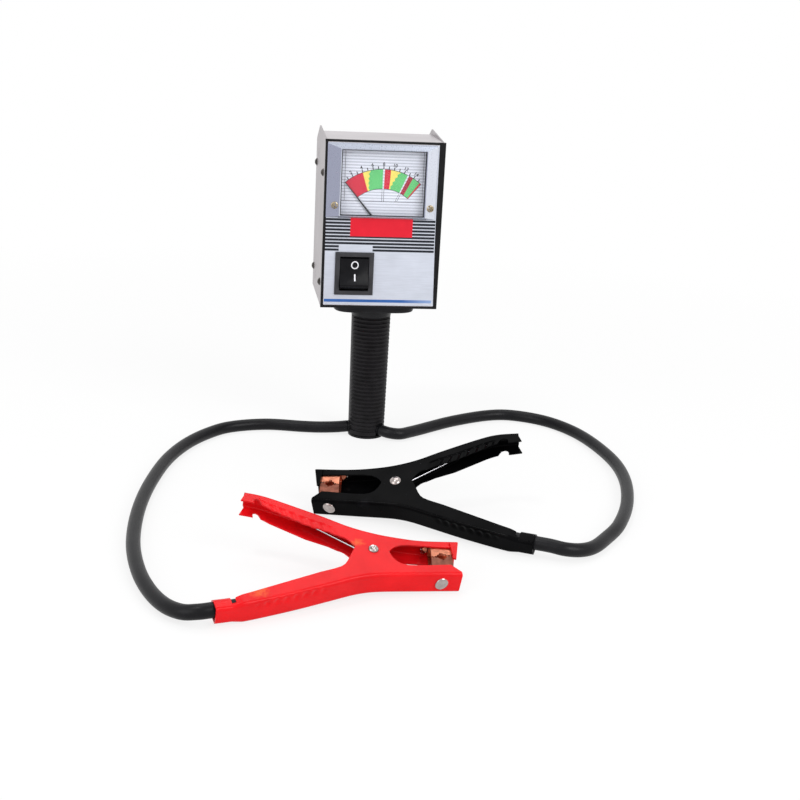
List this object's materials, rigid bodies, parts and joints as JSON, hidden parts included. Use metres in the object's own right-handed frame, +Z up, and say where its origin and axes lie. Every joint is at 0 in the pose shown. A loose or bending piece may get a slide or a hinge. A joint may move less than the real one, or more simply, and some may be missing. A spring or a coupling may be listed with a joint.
{
  "type": "battery load tester",
  "caption": "Hand-held battery load tester: steel case with needle meter and load switch on a ribbed grip, two heavy leads and two spring clamps.",
  "frame": {"origin": "centre of the grip's end face, on the surface the tester stands on", "axes": "+Z up along the grip, the meter faces -Y, +X to the right of someone facing the meter"},
  "size_m": [0.4464, 0.4507, 0.2954],
  "materials": {
    "sheet_steel": "brushed",
    "face_print": "satin",
    "plated_steel": "bright",
    "bezel": "satin",
    "window": "clear",
    "brass_screw": "satin",
    "housing": "matte",
    "dial": "matte",
    "iron": "satin",
    "brass": "satin",
    "needle": "matte",
    "copper": "satin",
    "black_plastic": "gloss",
    "element": "satin",
    "ceramic": "matte",
    "board": "matte",
    "grip_rubber": "satin",
    "lead_rubber": "satin",
    "red_coating": "gloss",
    "black_coating": "gloss",
    "spring_steel": "bright"
  },
  "bodies": {
    "tester": {"front_chassis": "sheet_steel", "wrap_cover": "sheet_steel", "face_label": "face_print", "case_screws": "plated_steel", "meter_bezel": "bezel", "meter_window": "window", "meter_screws": "brass_screw", "meter_housing": "housing", "dial_plate": "dial", "meter_yoke": "iron", "meter_core": "iron", "meter_bridge": "brass", "switch_frame": "black_plastic", "switch_terminals": "brass", "heat_shield": "sheet_steel", "load_resistor": "element", "resistor_insulators": "ceramic", "resistor_screws": "plated_steel", "terminal_board": "board", "terminal_studs": "brass", "switch_strap": "copper", "resistor_strap": "copper", "return_strap": "copper", "handle_flange": "black_plastic", "flange_screws": "plated_steel", "handle_tube": "plated_steel", "handle_grip": "grip_rubber", "handle_end_cap": "grip_rubber", "left_inner_lead": "lead_rubber", "right_inner_lead": "lead_rubber", "lead_lugs": "copper", "left_lead": "lead_rubber", "right_lead": "lead_rubber", "red_lower_half": "red_coating", "red_pivot_rivet": "plated_steel", "red_spring": "spring_steel", "red_lower_jaw": "copper", "red_lower_rivet": "plated_steel", "red_conductor": "copper", "black_lower_half": "black_coating", "black_pivot_rivet": "plated_steel", "black_spring": "spring_steel", "black_lower_jaw": "copper", "black_lower_rivet": "plated_steel", "black_conductor": "copper"},
    "load_rocker": {"load_rocker": "black_plastic"},
    "needle": {"meter_needle": "needle", "moving_coil": "copper"},
    "red_upper": {"red_upper_half": "red_coating", "red_upper_jaw": "copper", "red_upper_rivet": "plated_steel"},
    "black_upper": {"black_upper_half": "black_coating", "black_upper_jaw": "copper", "black_upper_rivet": "plated_steel"}
  },
  "joints": [
    {"name": "rocker_pivot", "type": "hinge", "parent": "tester", "child": "load_rocker", "pos_m": [-0.0236, -0.0445, 0.171], "axis": [1, 0, 0], "range_deg": [0, 14], "stiffness_Nm_per_rad": 0.1, "springref_deg": -8.59},
    {"name": "needle_pivot", "type": "hinge", "parent": "tester", "child": "needle", "pos_m": [0, -0.035, 0.2124], "axis": [0, 1, 0], "range_deg": [0, 80.6], "stiffness_Nm_per_rad": 0.001, "springref_deg": -11.46},
    {"name": "red_clamp_pivot", "type": "hinge", "parent": "tester", "child": "red_upper", "pos_m": [-0.03463, -0.33386, 0.02008], "axis": [0.0779, -0.299, 0.9511], "range_deg": [0, 30], "stiffness_Nm_per_rad": 2, "springref_deg": -28.65, "deforming": ["red_spring"]},
    {"name": "black_clamp_pivot", "type": "hinge", "parent": "tester", "child": "black_upper", "pos_m": [0.00131, -0.20613, 0.02406], "axis": [0.2028, 0.3798, -0.9026], "range_deg": [0, 30], "stiffness_Nm_per_rad": 2, "springref_deg": -28.65, "deforming": ["black_spring"]}
  ]
}
